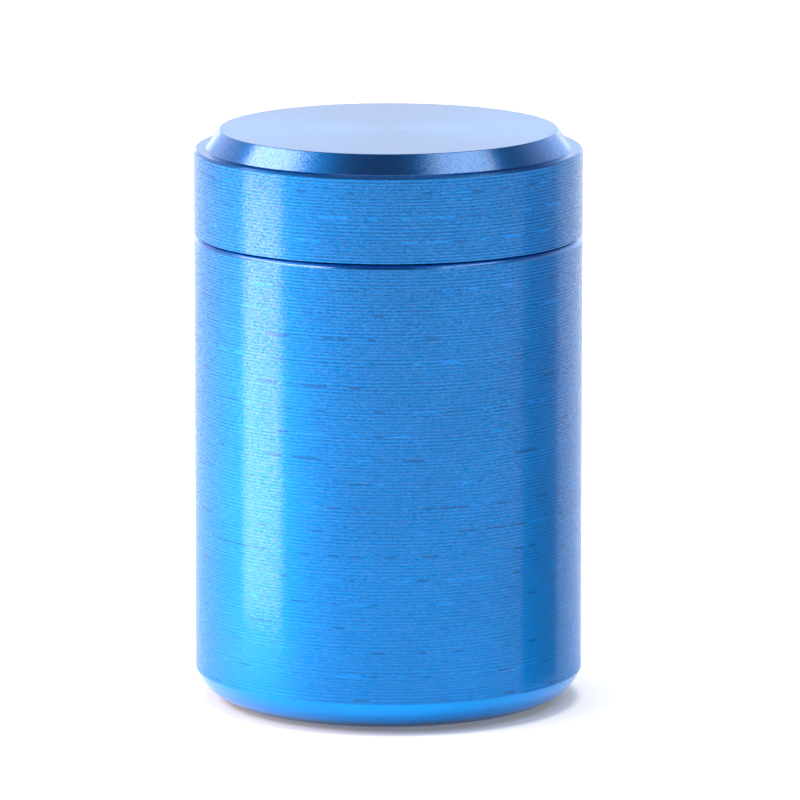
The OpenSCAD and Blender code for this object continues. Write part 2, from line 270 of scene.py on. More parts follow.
def joined(parts):
    """One mesh out of several, each used up."""
    whole = bmesh.new()
    for part in parts:
        mesh = bpy.data.meshes.new("part")
        part.to_mesh(mesh)
        part.free()
        whole.from_mesh(mesh)
        bpy.data.meshes.remove(mesh)
    return whole


def ring_of_verts(bm, radius, z, sides):
    angles = [TURN * i / sides for i in range(sides)]
    return [bm.verts.new((radius * math.cos(angle), radius * math.sin(angle), z)) for angle in angles]


def prism(radius, z_low, z_high, sides, bevel=0.0):
    """A regular prism round the axis. The radius goes to its corners."""
    bm = bmesh.new()
    rings = [ring_of_verts(bm, radius, z, sides) for z in (z_low, z_high)]
    bm.faces.new(rings[0][::-1])
    bm.faces.new(rings[1])
    for i in range(sides):
        k = (i + 1) % sides
        bm.faces.new((rings[0][i], rings[0][k], rings[1][k], rings[1][i]))
    if bevel:
        bmesh.ops.bevel(bm, geom=bm.edges[:], offset=bevel, segments=3, profile=0.5, affect="EDGES")
    return bm


def bar(size_x, size_y, z_low, z_high):
    """A box on the axis."""
    bm = bmesh.new()
    bmesh.ops.create_cube(bm, size=1)
    bmesh.ops.scale(bm, vec=(size_x, size_y, z_high - z_low), verts=bm.verts)
    bmesh.ops.translate(bm, vec=(0, 0, (z_low + z_high) / 2), verts=bm.verts)
    return bm


def in_scene(name, data):
    obj = bpy.data.objects.new(name, data)
    bpy.context.scene.collection.objects.link(obj)
    return obj


def mesh_object(name, bm):
    """An object made of bm, which is used up."""
    mesh = bpy.data.meshes.new(name)
    bm.to_mesh(mesh)
    bm.free()
    return in_scene(name, mesh)


def cut(bm, cutter):
    """bm with the cutter's space taken out of it, both used up."""
    for source in (bm, cutter):
        bmesh.ops.recalc_face_normals(source, faces=source.faces)
    blank, tool = mesh_object("blank", bm), mesh_object("tool", cutter)
    change = blank.modifiers.new("cut", "BOOLEAN")
    change.operation = "DIFFERENCE"
    change.solver = "EXACT"
    change.object = tool
    change.use_self = False
    bpy.context.view_layer.update()
    result = bmesh.new()
    result.from_object(blank, bpy.context.evaluated_depsgraph_get())
    for obj in (blank, tool):
        mesh = obj.data
        bpy.data.objects.remove(obj)
        bpy.data.meshes.remove(mesh)
    for edge in result.edges:
        if len(edge.link_faces) == 2 and edge.calc_face_angle(0) > CREASE:
            edge.smooth = False
    return result


def finish_piece(node, bm, body, slot, *materials):
    """Makes the mesh into the piece that stands for a CAD node."""
    piece = mesh_object(node + "_finished", bm)
    for material in materials:
        piece.data.materials.append(material)
    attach(piece, body)
    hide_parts(node)
    return piece


# ---------------------------------------------------------------- materials


class Nodes:
    """Adds shader nodes to one material, with short calls."""

    def __init__(self, name):
        self.material = bpy.data.materials.new(name)
        self.material.use_nodes = True
        self.tree = self.material.node_tree
        self.shader = self.tree.nodes["Principled BSDF"]

    def put(self, socket, value):
        if isinstance(value, bpy.types.NodeSocket):
            self.tree.links.new(value, socket)
        else:
            socket.default_value = value

    def add(self, kind, inputs=(), **settings):
        node = self.tree.nodes.new(kind)
        for key, value in settings.items():
            setattr(node, key, value)
        for key, value in dict(inputs).items():
            self.put(node.inputs[key], value)
        return node

    def math(self, operation, a, b=0.0, clamp=False):
        return self.add("ShaderNodeMath", {0: a, 1: b}, operation=operation, use_clamp=clamp).outputs[0]

    def vector(self, operation, a):
        return self.add("ShaderNodeVectorMath", {0: a}, operation=operation)

    def split(self, vector):
        return self.add("ShaderNodeSeparateXYZ", {0: vector}).outputs

    def combined(self, x, y, z=0.0):
        return self.add("ShaderNodeCombineXYZ", {0: x, 1: y, 2: z}).outputs[0]

    def object_place(self):
        return self.add("ShaderNodeTexCoord").outputs["Object"]

    def scaled(self, value, low_in, high_in, low_out, high_out):
        """value brought from one range to another and held inside it."""
        limits = {"From Min": low_in, "From Max": high_in, "To Min": low_out, "To Max": high_out}
        return self.add("ShaderNodeMapRange", {"Value": value, **limits}).outputs["Result"]

    def varied(self, value, noise, span):
        """A value that goes up and down a little with a noise."""
        return self.scaled(noise, *span, value * (1 - ROUGHNESS_CHANGE), value * (1 + ROUGHNESS_CHANGE))

    def mix(self, factor, a, b, blend="MIX"):
        node = self.add("ShaderNodeMix", data_type="RGBA", blend_type=blend)
        for key, value in (("Factor_Float", factor), ("A_Color", a), ("B_Color", b)):
            self.put(next(s for s in node.inputs if s.identifier == key), value)
        return next(s for s in node.outputs if s.identifier == "Result_Color")

    def noise(self, scale, vector, detail=2.0, roughness=0.5):
        inputs = {"Vector": vector, "Scale": scale, "Detail": detail, "Roughness": roughness}
        return self.add("ShaderNodeTexNoise", inputs).outputs["Fac"]

    def shade(self, **inputs):
        for key, value in inputs.items():
            self.put(self.shader.inputs[key.replace("_", " ").title()], value)

    def bump(self, height, coat=False):
        """Bumps the surface, and with coat also the clear layer on it. height is in metres."""
        normal = self.add("ShaderNodeBump", {"Height": height, "Strength": 1.0, "Distance": 1.0}).outputs[0]
        self.put(self.shader.inputs["Normal"], normal)
        if coat:
            self.put(self.shader.inputs["Coat Normal"], normal)


def colour(r, g, b):
    return (r, g, b, 1.0)


NOISE_SPAN = (0.3, 0.7)  # most of a noise's values lie in it
ROUGHNESS_CHANGE = 0.15

# Noises that follow the turned rings: cells per radian of turn, and cells per metre along the surface.
WEAVE_SCALE = (0.4, 330.0)
BRUSH_SCALE = (26.0, 3600.0)
GRAIN_SCALE = (70.0, 4200.0)
DASH_TURN_SCALE = 8.0
# Noises that are the same in every direction: cells per metre.
CLOUD_SCALE = 90.0
SLOW_SCALE = 70.0

WEAVE_SHIFT = 1.2  # how far the rings wander, in ring pitches
STRONG_RING, FAINT_RING, BRUSHED_RING = 0.75, 0.3, 0.35
SPECK_TONE = 0.45
CLOUD_TONE = (0.95, 1.05)
GRAIN_SPAN = (0.25, 0.75)
SPARKLE_SPAN = (0.36, 0.64)

DASH_PITCH = 2.92 * MM
DASH_LINE = (0.012, 0.045)  # how far from its row's middle a dash begins to fade and ends, in pitches
DASH_ROW_SHIFT = 3.7  # makes the dashes of each row fall in other places
DASH_LIGHT = (0.58, 0.66)  # noise values between which a light dash fades in
DASH_DARK = (0.34, 0.42)  # and between which a dark one fades out

# What a fade does, at its lower height and at its upper one.
FADE_MARKS = (0.62, 1.2)
FADE_TONE = (0.68, 0.46)
FADE_COAT = (0.65, 1.0)
MIDDLE_TONE = 0.5


class TurnedNodes(Nodes):
    """Nodes for a surface that was turned round its object's Z axis."""

    def __init__(self, name):
        super().__init__(name)
        self.place = self.object_place()
        x, y, self.z = self.split(self.place)
        flat = self.combined(x, y)
        radius = self.vector("LENGTH", flat).outputs["Value"]
        around = self.split(self.vector("NORMALIZE", flat).outputs["Vector"])
        self.around_x, self.around_y = around[0], around[1]
        self.along = self.math("SUBTRACT", self.z, radius)

    def wound(self, turn_scale, level):
        """Noise coordinates that follow the rings."""
        x = self.math("MULTIPLY", self.around_x, turn_scale)
        y = self.math("MULTIPLY", self.around_y, turn_scale)
        return self.combined(x, y, level)

    def ring_noise(self, scale, *detail):
        turn_scale, along_scale = scale
        level = self.math("MULTIPLY", self.along, along_scale)
        return self.noise(1.0, self.wound(turn_scale, level), *detail)

    def rings(self, pitches):
        """Height from about -1 to 1: two sets of fine rings that wander together, and short streaks."""
        weave = self.math("MULTIPLY", self.ring_noise(WEAVE_SCALE, 1.0), WEAVE_SHIFT)
        waves = []
        for pitch in pitches:
            turns = self.math("ADD", self.math("DIVIDE", self.along, pitch), weave)
            waves.append(self.math("SINE", self.math("MULTIPLY", turns, TURN)))
        brushed = self.scaled(self.ring_noise(BRUSH_SCALE, 2.0, 0.6), *NOISE_SPAN, -1.0, 1.0)
        strong = self.math("MULTIPLY", waves[0], STRONG_RING)
        faint = self.math("MULTIPLY", waves[1], FAINT_RING)
        both = self.math("ADD", strong, faint)
        return self.math("ADD", both, self.math("MULTIPLY", brushed, BRUSHED_RING))

    def dashes(self, start):
        """Rows of short scratches: 1 on a light one, -1 on a dark one and 0 elsewhere."""
        row = self.math("DIVIDE", self.math("SUBTRACT", self.along, start), DASH_PITCH)
        off_line = self.math("ABSOLUTE", self.math("SUBTRACT", self.math("FRACT", row), 0.5))
        on_line = self.scaled(off_line, *DASH_LINE, 1.0, 0.0)
        level = self.math("MULTIPLY", self.math("FLOOR", row), DASH_ROW_SHIFT)
        patch = self.noise(1.0, self.wound(DASH_TURN_SCALE, level), 1.0)
        light = self.scaled(patch, *DASH_LIGHT, 0.0, 1.0)
        dark = self.scaled(patch, *DASH_DARK, 1.0, 0.0)
        return self.math("MULTIPLY", on_line, self.math("SUBTRACT", light, dark))


def turned_metal(
    name,
    base,
    deep,
    pitches,
    ring_depth,
    ring_painted_shading,
    grain_depth,
    roughness,
    spread,
    coat,
    coat_ior=1.45,
    coat_roughness=0.09,
    edge=(1.0, 1.0, 1.0),
    sparkle=0.0,
    dashes=0.0,
    dash_start=0.0,
    fade=None,
    dark=None,
    painted_shade_below=None,
):
    """Metal with the fine rings that a lathe leaves.

    base, deep: the light and dark ends of the colour. The rings go between them as a painted highlight on
    each crest and painted shade in each valley; the scratches and grain go between them as the metal's own
    tone.
    pitches: two close ring pitches, which beat as real tool marks do.
    ring_depth, grain_depth: heights in metres. ring_painted_shading: how strongly a ring changes the
    colour, as painted highlight and shade.
    spread: the share by which the grooves widen a highlight across themselves.
    coat, coat_ior, coat_roughness: the clear layer on top. sparkle: how much the grain changes its weight.
    edge: the tint of the metal's reflection at a grazing angle.
    dashes, dash_start: strength of the short scratches, and a place that their rows are counted from.
    fade: two heights. From the upper to the lower, the marks and the coat weaken and the colour lightens.
    dark, painted_shade_below: a colour and two heights. From the upper to the lower, everything goes to
    that colour, as painted shade.
    """
    m = TurnedNodes(name)
    ring = m.rings(pitches)
    grain = m.ring_noise(GRAIN_SCALE, 2.0, 0.6)

    # The rings change the colour as painted highlight and shade.
    tone = m.math("MULTIPLY", ring, ring_painted_shading)
    if dashes:
        tone = m.math("ADD", tone, m.math("MULTIPLY", m.dashes(dash_start), dashes))
    speck = m.scaled(grain, *NOISE_SPAN, -0.5, 0.5)
    tone = m.math("ADD", tone, m.math("MULTIPLY", speck, SPECK_TONE))
    middle = MIDDLE_TONE
    height = m.math("ADD", m.math("MULTIPLY", ring, ring_depth), m.math("MULTIPLY", grain, grain_depth))
    if sparkle:
        coat = m.scaled(grain, *SPARKLE_SPAN, coat * (1 - sparkle), coat * (1 + sparkle))
    if fade:
        share = m.scaled(m.z, *fade, *FADE_MARKS)
        tone, height = m.math("MULTIPLY", tone, share), m.math("MULTIPLY", height, share)
        middle = m.scaled(m.z, *fade, *FADE_TONE)
        coat = m.math("MULTIPLY", coat, m.scaled(m.z, *fade, *FADE_COAT))
    tone = m.math("ADD", tone, middle, clamp=True)

    cloud = m.scaled(m.noise(CLOUD_SCALE, m.place, 2.0), *NOISE_SPAN, *CLOUD_TONE)
    paint = m.mix(tone, colour(*deep), colour(*base))
    paint = m.mix(1.0, paint, m.combined(cloud, cloud, cloud), "MULTIPLY")
    # Painted shade: the surface goes dark towards its lower edge, where it would face the shadowed floor.
    if painted_shade_below:
        paint = m.mix(m.scaled(m.z, *painted_shade_below, 0.0, 1.0), colour(*dark), paint)
    m.shade(base_color=paint, metallic=1.0, specular_tint=colour(*edge))
    m.shade(roughness=m.varied(roughness, grain, GRAIN_SPAN), anisotropic=spread, anisotropic_rotation=0.25)
    m.shade(coat_weight=coat, coat_roughness=coat_roughness)
    m.put(m.shader.inputs["Coat IOR"], coat_ior)
    m.shade(tangent=m.add("ShaderNodeTangent", direction_type="RADIAL", axis="Z").outputs[0])
    m.bump(height, coat=True)
    return m.material


def moulded(name, base, tint, roughness, grain_scale, grain_depth, **more):
    """A moulded plastic or rubber: a fine even grain and a slow change of tone between base and tint."""
    m = Nodes(name)
    place = m.object_place()
    grain = m.noise(grain_scale, place, 3.0, 0.55)
    slow = m.scaled(m.noise(SLOW_SCALE, place, 2.0), *NOISE_SPAN, 0.0, 1.0)
    m.shade(base_color=m.mix(slow, colour(*base), colour(*tint)), **more)
    m.shade(roughness=m.varied(roughness, grain, NOISE_SPAN))
    m.bump(m.math("MULTIPLY", grain, grain_depth))
    return m.material


BLUE = (0.001, 0.305, 0.80)
BLUE_DEEP = (0.001, 0.145, 0.42)
BLUE_SMOOTH = (0.001, 0.155, 0.50)
# Painted shade, for the lower edge of the foot.
BLUE_PAINTED_SHADE = (0.004, 0.02, 0.06)
BLUE_EDGE = (0.2, 0.6, 1.0)

blue_turned = turned_metal(
    "blue_turned",
    base=BLUE,
    deep=BLUE_DEEP,
    pitches=(0.395 * MM, 0.452 * MM),
    ring_depth=0.8 * MICRON,
    ring_painted_shading=0.36,
    grain_depth=22 * MICRON,
    roughness=0.68,
    spread=0.3,
    coat=0.6,
    coat_ior=1.5,
    sparkle=0.65,
    dashes=1.4,
    dash_start=2.78 * MM,
    fade=(5 * MM, 55 * MM),
)
blue_bevel = turned_metal(
    "blue_bevel",
    base=BLUE_SMOOTH,
    deep=BLUE_SMOOTH,
    pitches=(0.3 * MM, 0.34 * MM),
    ring_depth=0.0,
    ring_painted_shading=0.0,
    grain_depth=13 * MICRON,
    roughness=0.33,
    spread=0.3,
    coat=0.7,
    coat_ior=2.0,
    coat_roughness=0.12,
    edge=BLUE_EDGE,
    sparkle=0.4,
)
blue_crown = turned_metal(
    "blue_crown",
    base=BLUE,
    deep=BLUE_SMOOTH,
    pitches=(0.25 * MM, 0.29 * MM),
    ring_depth=0.2 * MICRON,
    ring_painted_shading=0.25,
    grain_depth=2 * MICRON,
    roughness=0.36,
    spread=0.5,
    coat=0.8,
    edge=BLUE_EDGE,
)
blue_foot = turned_metal(
    "blue_foot",
    base=BLUE,
    deep=BLUE,
    pitches=(0.3 * MM, 0.34 * MM),
    ring_depth=0.0,
    ring_painted_shading=0.0,
    grain_depth=6 * MICRON,
    roughness=0.4,
    spread=0.3,
    coat=0.6,
    coat_ior=1.35,
    sparkle=0.4,
    # Painted shade: the foot's lower edge is painted dark.
    dark=BLUE_PAINTED_SHADE,
    painted_shade_below=(0.35 * MM, 1.5 * MM),
)
clear_anodised = turned_metal(
    "clear_anodised",
    base=(0.60, 0.61, 0.63),
    deep=(0.46, 0.47, 0.50),
    pitches=(0.3 * MM, 0.34 * MM),
    ring_depth=0.6 * MICRON,
    ring_painted_shading=0.4,
    grain_depth=2 * MICRON,
    roughness=0.28,
    spread=0.5,
    coat=0.15,
)
stainless = turned_metal(
    "stainless",
    base=(0.52, 0.52, 0.52),
    deep=(0.42, 0.42, 0.43),
    pitches=(0.2 * MM, 0.23 * MM),
    ring_depth=0.3 * MICRON,
    ring_painted_shading=0.25,
    grain_depth=1 * MICRON,
    roughness=0.24,
    spread=0.3,
    coat=0.0,
)
screw_steel = turned_metal(
    "screw_steel",
    base=(0.55, 0.55, 0.56),
    deep=(0.42, 0.42, 0.44),
    pitches=(0.25 * MM, 0.28 * MM),
    ring_depth=0.2 * MICRON,
    ring_painted_shading=0.25,
    grain_depth=1.5 * MICRON,
    roughness=0.3,
    spread=0.2,
    coat=0.0,
)
spring_steel = turned_metal(
    "spring_steel",
    base=(0.62, 0.62, 0.64),
    deep=(0.5, 0.5, 0.52),
    pitches=(0.15 * MM, 0.17 * MM),
    ring_depth=0.0,
    ring_painted_shading=0.1,
    grain_depth=1 * MICRON,
    roughness=0.26,
    spread=0.2,
    coat=0.0,
)
white_moulding = moulded(
    "white_moulding",
    base=(0.84, 0.84, 0.80),
    tint=(0.79, 0.79, 0.75),
    roughness=0.42,
    grain_scale=2500.0,
    grain_depth=3 * MICRON,
    subsurface_weight=0.1,
)
dark_silicone = moulded(
    "dark_silicone",
    base=(0.022, 0.023, 0.026),
    tint=(0.034, 0.035, 0.038),
    roughness=0.62,
    grain_scale=1800.0,
    grain_depth=8 * MICRON,
)
seal_rubber = moulded(
    "seal_rubber",
    base=(0.014, 0.014, 0.015),
    tint=(0.022, 0.022, 0.022),
    roughness=0.34,
    grain_scale=2200.0,
    grain_depth=2 * MICRON,
)
frosted_silicone = moulded(
    "frosted_silicone",
    base=(0.62, 0.70, 0.75),
    tint=(0.55, 0.63, 0.69),
    roughness=0.48,
    grain_scale=1500.0,
    grain_depth=4 * MICRON,
    subsurface_weight=0.3,
)

# ---------------------------------------------------------------- can

CASE_RADIUS = high("can_shell").x
CAN_BASE = low("can_shell").z
CAN_RIM = high("can_shell").z
CAN_RIM_BEVEL = 0.35 * MM
RIM_LEAN = 0.1 * MM  # how far the wall has come in where the rim's steeper upper slope starts
RIM_LEAN_DROP = 0.48 * MM  # how far below the rim it starts to come in
RIM_SLOPE_DROP = 0.29 * MM  # how far below the rim the upper slope starts
CAN_FLOOR = low("store_liner").z
CAN_BORE = 21 * MM
CAN_BORE_FILLET = 0.5 * MM
FOOT_FLAT = 19.2 * MM
FOOT_TOP = CAN_BASE + 3.6 * MM
FOOT_ARC = 5.5 * MM
LEDGE = CAN_RIM - 1.5 * MM
LEDGE_RADIUS = 22.3 * MM
PAD_RADIUS = high("foot_pad").x
PAD_TOP = high("foot_pad").z
PAD_SEAT = PAD_RADIUS + 0.1 * MM


def can_shell():
    """The finishes along its outline are 0 turned, 1 bevel, 2 crown and 3 foot."""
    outline = [
        corner(0, PAD_TOP),
        corner(PAD_SEAT, PAD_TOP),
        corner(PAD_SEAT, CAN_BASE),
        *arc((FOOT_FLAT, CAN_BASE), (CASE_RADIUS, FOOT_TOP), FOOT_ARC, finish=3),
        corner(CASE_RADIUS, CAN_RIM - RIM_LEAN_DROP, EDGE / 4, 1),
        corner(CASE_RADIUS - RIM_LEAN, CAN_RIM - RIM_SLOPE_DROP, EDGE / 4, 1),
        corner(CASE_RADIUS - CAN_RIM_BEVEL, CAN_RIM, EDGE / 3, 2),
        corner(LEDGE_RADIUS, CAN_RIM),
        corner(LEDGE_RADIUS, LEDGE),
        corner(CAN_BORE, LEDGE),
        corner(CAN_BORE, CAN_FLOOR, CAN_BORE_FILLET),
        corner(0, CAN_FLOOR),
    ]
    materials = (blue_turned, blue_bevel, blue_crown, blue_foot)
    finish_piece("can_shell", turned(outline), "can", "blue_anodised", *materials)


def store_liner():
    outer, top = high("store_liner").x, high("store_liner").z
    wall, foot_fillet, lip_fillet, inner_fillet = 1 * MM, 0.4 * MM, 0.3 * MM, 2.5 * MM
    outline = [
        corner(0, CAN_FLOOR),
        corner(outer, CAN_FLOOR, foot_fillet),
        corner(outer, top, lip_fillet),
        corner(outer - wall, top, lip_fillet),
        corner(outer - wall, CAN_FLOOR + wall, inner_fillet),
        corner(0, CAN_FLOOR + wall),
    ]
    finish_piece("store_liner", turned(outline), "can", "white_moulding", white_moulding)


def foot_pad():
    """A disc with shallow round grooves under it for grip."""
    groove, depth, edge_fillet = 0.5 * MM, 0.35 * MM, 0.25 * MM
    groove_places = (0.28, 0.52, 0.76)  # as shares of the pad's radius
    bottom = [corner(0, 0)]
    for share in groove_places:
        middle = PAD_RADIUS * share
        bottom += [
            corner(middle - groove, 0),
            corner(middle - groove / 2, depth),
            corner(middle + groove / 2, depth),
            corner(middle + groove, 0),
        ]
    outline = [
        *bottom,
        corner(PAD_RADIUS, 0, edge_fillet),
        corner(PAD_RADIUS, PAD_TOP),
        corner(0, PAD_TOP),
    ]
    finish_piece("foot_pad", turned(outline), "can", "dark_silicone", dark_silicone)


def key_pins():
    """Two dowels across from each other, bevelled at both ends."""
    z_low, z_high = low("key_pins").z, high("key_pins").z
    radius = high("key_pins").y
    ring = high("key_pins").x - radius
    bevel = 0.15 * MM
    outline = [
        corner(0, z_low),
        corner(radius - bevel, z_low, EDGE / 4),
        corner(radius, z_low + bevel, EDGE / 4),
        corner(radius, z_high - bevel, EDGE / 4),
        corner(radius - bevel, z_high, EDGE / 4),
        corner(0, z_high),
    ]
    pins = [moved(turned(outline, SMALL_ROUND_STEPS), x=ring, spin=spin) for spin in (0, TURN / 2)]
    finish_piece("key_pins", joined(pins), "can", "stainless", stainless)


# ---------------------------------------------------------------- crushing cup

CUP_BASE = low("crush_cup").z
CUP_RIM = high("crush_cup").z
CUP_FLOOR = low("anvil_plate").z
CUP_BORE = 17 * MM
PLUG_RADIUS = 20.8 * MM
FLANGE_RADIUS = high("crush_cup").x
NECK_RADIUS = 19.3 * MM
NECK_RUNOUT = 1 * MM  # plain stretch under the thread
NECK_FILLET = 0.25 * MM
PLUG_BEVEL = 0.5 * MM
GROOVE_HALF = 0.85 * MM
GROOVE_RADIUS = 19.4 * MM
SEAL_CORD = 0.75 * MM
KEY_NOTCH = 0.9 * MM
KEY_NOTCH_RING = 22.1 * MM
KEY_NOTCH_SIDES = 40
PLATE_SCREW_TURN = math.radians(30)


def screw_ring(make, face, spin):
    """What make returns, once at each plate screw's place."""
    turns = [spin + TURN * i / PLATE_SCREWS for i in range(PLATE_SCREWS)]
    return joined(moved(make(), x=PLATE_SCREW_RING, z=face, spin=turn) for turn in turns)


def screw_seats(face, spin):
    """Cutters for countersunk seats in a face that the screws go into upwards."""
    gap, depth = 0.05 * MM, 4 * MM
    outline = [
        corner(0, -PAST, 0),
        corner(SCREW_HEAD_RADIUS + gap, -PAST, 0),
        corner(SCREW_HEAD_RADIUS + gap, SCREW_LIP, 0),
        corner(SCREW_RADIUS + gap, SCREW_CONE_END, 0),
        corner(SCREW_RADIUS + gap, depth, 0),
        corner(0, depth, 0),
    ]
    return screw_ring(lambda: turned(outline, SMALL_ROUND_STEPS), face, spin)


def crush_cup():
    seal_heights = [(low(node).z + high(node).z) / 2 for node in ("plug_seal_lower", "plug_seal_upper")]
    plug = []
    for z in seal_heights:
        plug += [
            corner(PLUG_RADIUS, z - GROOVE_HALF),
            corner(GROOVE_RADIUS, z - GROOVE_HALF),
            corner(GROOVE_RADIUS, z + GROOVE_HALF),
            corner(PLUG_RADIUS, z + GROOVE_HALF),
        ]
    outline = [
        corner(0, CUP_BASE),
        corner(PLUG_RADIUS - PLUG_BEVEL, CUP_BASE),
        corner(PLUG_RADIUS, CUP_BASE + PLUG_BEVEL),
        *plug,
        corner(PLUG_RADIUS, LEDGE),
        corner(FLANGE_RADIUS, LEDGE),
        corner(FLANGE_RADIUS, CAN_RIM),
        corner(NECK_RADIUS, CAN_RIM),
        curve(NECK_RADIUS, CAN_RIM + 0.9 * NECK_RUNOUT),
        corner(NECK_RADIUS, CUP_RIM, NECK_FILLET),
        corner(CUP_BORE, CUP_RIM, NECK_FILLET),
        corner(CUP_BORE, CUP_FLOOR),
        corner(0, CUP_FLOOR),
    ]
    threaded = {
        "wall": NECK_RADIUS,
        "crest": NECK_RADIUS + RIDGE_HEIGHT,
        "z_low": CAN_RIM + NECK_RUNOUT,
        "z_high": CUP_RIM - 2 * NECK_FILLET,
        "phase": 0,
    }
    index = next(i for i, c in enumerate(outline) if c["curve"])
    cup = turned(outline, thread=(index, threaded))
    cutters = []
    for spin in (0, TURN / 2):
        notch = prism(KEY_NOTCH, LEDGE - PAST, CAN_RIM + PAST / 2, KEY_NOTCH_SIDES)
        cutters.append(moved(notch, x=KEY_NOTCH_RING, spin=spin))
    cutters.append(screw_seats(CUP_BASE, PLATE_SCREW_TURN))
    cup = cut(cup, joined(cutters))
    finish_piece("crush_cup", cup, "cup", "clear_anodised", clear_anodised)


def plug_seals():
    for node in ("plug_seal_lower", "plug_seal_upper"):
        middle = (low(node).z + high(node).z) / 2
        outline = circle_outline((high(node).x - SEAL_CORD, middle), SEAL_CORD)
        finish_piece(node, turned(outline), "cup", "seal_rubber", seal_rubber)


# ---------------------------------------------------------------- toothed plates


def tooth_depth(x):
    """Depth of the nearest V groove at a distance along one row of teeth."""
    off_groove = abs((x / TOOTH_PITCH) % 1 - 0.5) * TOOTH_PITCH
    return TOOTH_DEPTH * max(0, 1 - off_groove / TOOTH_GROOVE_HALF)


def toothed_disc(radius, face, back):
    """A disc with V grooves both ways over its face. The disc is parted along every crease of the grooves,
    and then each point of it goes to its depth. The face looks away from the back."""
    bm = bmesh.new()
    bm.faces.new(ring_of_verts(bm, radius, 0, PLATE_STEPS))
    side = math.ceil(radius / TOOTH_PITCH)
    creases = []
    for i in range(-side, side + 1):
        groove = (i + 0.5) * TOOTH_PITCH
        for offset in (groove - TOOTH_GROOVE_HALF, groove, groove + TOOTH_GROOVE_HALF):
            creases += [((offset, 0, 0), (1, 0, 0)), ((0, offset, 0), (0, 1, 0))]
    for i in range(-2 * side, 2 * side + 1):
        creases += [((i * TOOTH_PITCH, 0, 0), (1, 1, 0)), ((i * TOOTH_PITCH, 0, 0), (1, -1, 0))]
    for point, normal in creases:
        everything = bm.verts[:] + bm.edges[:] + bm.faces[:]
        bmesh.ops.bisect_plane(bm, geom=everything, dist=TINY, plane_co=point, plane_no=normal)
    bmesh.ops.triangulate(bm, faces=bm.faces)
    sign = 1 if face > back else -1
    for vert in bm.verts:
        vert.co.z = face - sign * max(tooth_depth(vert.co.x), tooth_depth(vert.co.y))
    rim = [e for e in bm.edges if e.is_boundary]
    walls = bmesh.ops.extrude_edge_only(bm, edges=rim)["geom"]
    for vert in (v for v in walls if isinstance(v, bmesh.types.BMVert)):
        vert.co.z = back
    bmesh.ops.contextual_create(bm, geom=[e for e in bm.edges if e.is_boundary])
    whole = {"verts": bm.verts, "edges": bm.edges}
    bmesh.ops.dissolve_limit(bm, angle_limit=NEARLY_FLAT, use_dissolve_boundaries=False, **whole)
    bmesh.ops.recalc_face_normals(bm, faces=bm.faces)
    return bm


def cross_recess(size, face, depth):
    """Cutter for a cross in a face that looks down."""
    narrow = size * SLOT_SHARE
    first = bar(size, narrow, face - PAST, face + depth)
    return joined([first, bar(narrow, size, face - PAST, face + depth * RECESS_SHARE)])


def countersunk_screws(face, length, spin):
    """Screws that go into a face upwards."""
    slot, slot_depth, tip_fillet = 2.2 * MM, 0.6 * MM, 0.2 * MM
    outline = [
        corner(0, 0),
        corner(SCREW_HEAD_RADIUS, 0, EDGE / 2),
        corner(SCREW_HEAD_RADIUS, SCREW_LIP, EDGE / 3),
        corner(SCREW_RADIUS, SCREW_CONE_END, EDGE / 2),
        corner(SCREW_RADIUS, length, tip_fillet),
        corner(0, length),
    ]

    def screw():
        return cut(turned(outline, SCREW_STEPS), cross_recess(slot, 0, slot_depth))

    return screw_ring(screw, face, spin)


def anvil():
    plate = toothed_disc(high("anvil_plate").x, high("anvil_plate").z, CUP_FLOOR)
    finish_piece("anvil_plate", plate, "cup", "stainless", stainless)
    length = high("anvil_screws").z - low("anvil_screws").z
    screws = countersunk_screws(CUP_BASE, length, PLATE_SCREW_TURN)
    finish_piece("anvil_screws", screws, "cup", "screw_steel", screw_steel)


# ---------------------------------------------------------------- lid

LID_EDGE = low("lid_shell").z
CROWN = high("lid_shell").z
SHOULDER = CROWN - 2.3 * MM
SHOULDER_BEVEL = 0.28 * MM
CROWN_TOP = 20.4 * MM
CROWN_FOOT = 22.1 * MM
LID_BORE = high("thread_liner").x
CEILING = high("thread_liner").z
BOSS_RADIUS = 7.4 * MM
BOSS_END = 63 * MM
BOSS_FILLET = 0.3 * MM
STUD_RADIUS = 3 * MM
STUD_TOP = high("spindle").z
STUD_GAP = 0.2 * MM
LINER_FILLET = 0.3 * MM
SPINDLE_FLATS = 9 * MM
GASKET_BORE = 16.4 * MM
GASKET_FILLET = 0.25 * MM
SPRING_WASHER_BORE = 7.8 * MM
SHANK_RADIUS = 2 * MM
RETAINING_WASHER_BORE = 2.05 * MM


def lid_shell():
    """The finishes along its outline are 0 turned, 1 bevel and 2 crown."""
    outline = [
        corner(0, CROWN, 0, 2),
        corner(0, STUD_TOP + STUD_GAP),
        corner(STUD_RADIUS, STUD_TOP + STUD_GAP),
        corner(STUD_RADIUS, BOSS_END),
        corner(BOSS_RADIUS, BOSS_END, BOSS_FILLET),
        corner(BOSS_RADIUS, CEILING, BOSS_FILLET),
        corner(LID_BORE, CEILING),
        corner(LID_BORE, LID_EDGE),
        corner(CASE_RADIUS, LID_EDGE, EDGE, 0),
        corner(CASE_RADIUS, SHOULDER - SHOULDER_BEVEL, EDGE / 3, 1),
        corner(CASE_RADIUS - SHOULDER_BEVEL, SHOULDER, EDGE / 3, 1),
        corner(CROWN_FOOT, SHOULDER, EDGE, 1),
        corner(CROWN_TOP, CROWN, EDGE, 2),
    ]
    materials = (blue_turned, blue_bevel, blue_crown)
    finish_piece("lid_shell", turned(outline), "lid", "blue_anodised", *materials)


